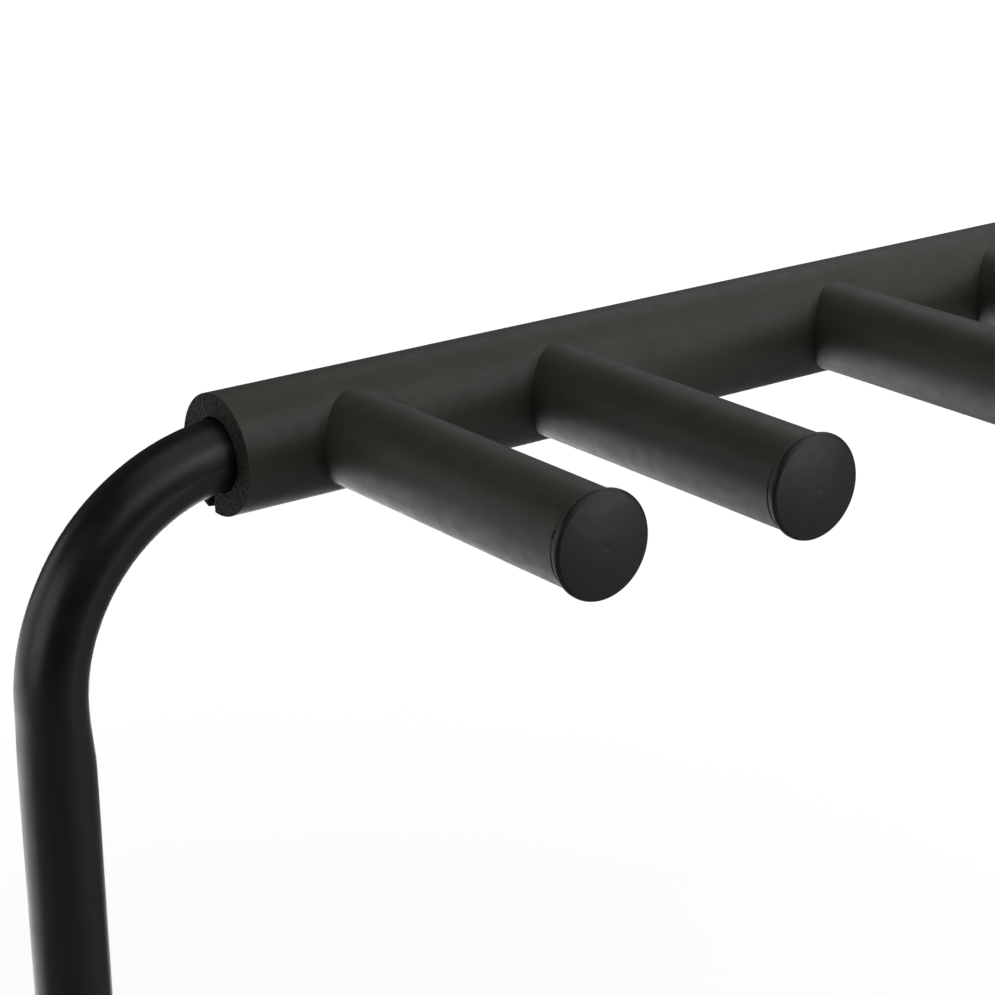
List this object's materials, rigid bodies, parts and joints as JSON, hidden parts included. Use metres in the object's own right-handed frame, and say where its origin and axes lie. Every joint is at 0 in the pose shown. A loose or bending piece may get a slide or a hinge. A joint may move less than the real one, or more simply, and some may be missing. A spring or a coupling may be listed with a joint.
{
  "type": "pull up bar",
  "caption": "Joist-mounted pull-up bar: a U-shaped black tube with a long foam sleeve and parallel foam grips, on bolted lower legs with gusseted mounting plates.",
  "frame": {"origin": "on the mounting surface, midway between the two legs", "axes": "+X along the bar, -Y the way the handles point, +Z away from the mounting surface. The part stands on its plates in this frame and hangs from them in use."},
  "size_m": [0.726, 0.282, 0.5242],
  "materials": {
    "frame_paint": "satin black powder coat with a light orange peel",
    "foam": "matte closed-cell foam, fine pores",
    "cap_plastic": "matte moulded plastic",
    "fastener": "blackened steel"
  },
  "bodies": {
    "root": {"grip_bar": "frame_paint", "handle_tube_1": "frame_paint", "handle_tube_2": "frame_paint", "handle_tube_3": "frame_paint", "handle_tube_4": "frame_paint", "handle_welds": "frame_paint", "lower_leg_left": "frame_paint", "lower_leg_right": "frame_paint", "mount_plate_left": "frame_paint", "mount_plate_right": "frame_paint", "gussets_left": "frame_paint", "gussets_right": "frame_paint", "plate_welds": "frame_paint", "bar_foam": "foam", "handle_foam_1": "foam", "handle_foam_2": "foam", "handle_foam_3": "foam", "handle_foam_4": "foam", "handle_cap_1": "cap_plastic", "handle_cap_2": "cap_plastic", "handle_cap_3": "cap_plastic", "handle_cap_4": "cap_plastic", "joint_bolts": "fastener", "joint_washers": "fastener", "joint_nuts": "fastener"}
  },
  "joints": []
}
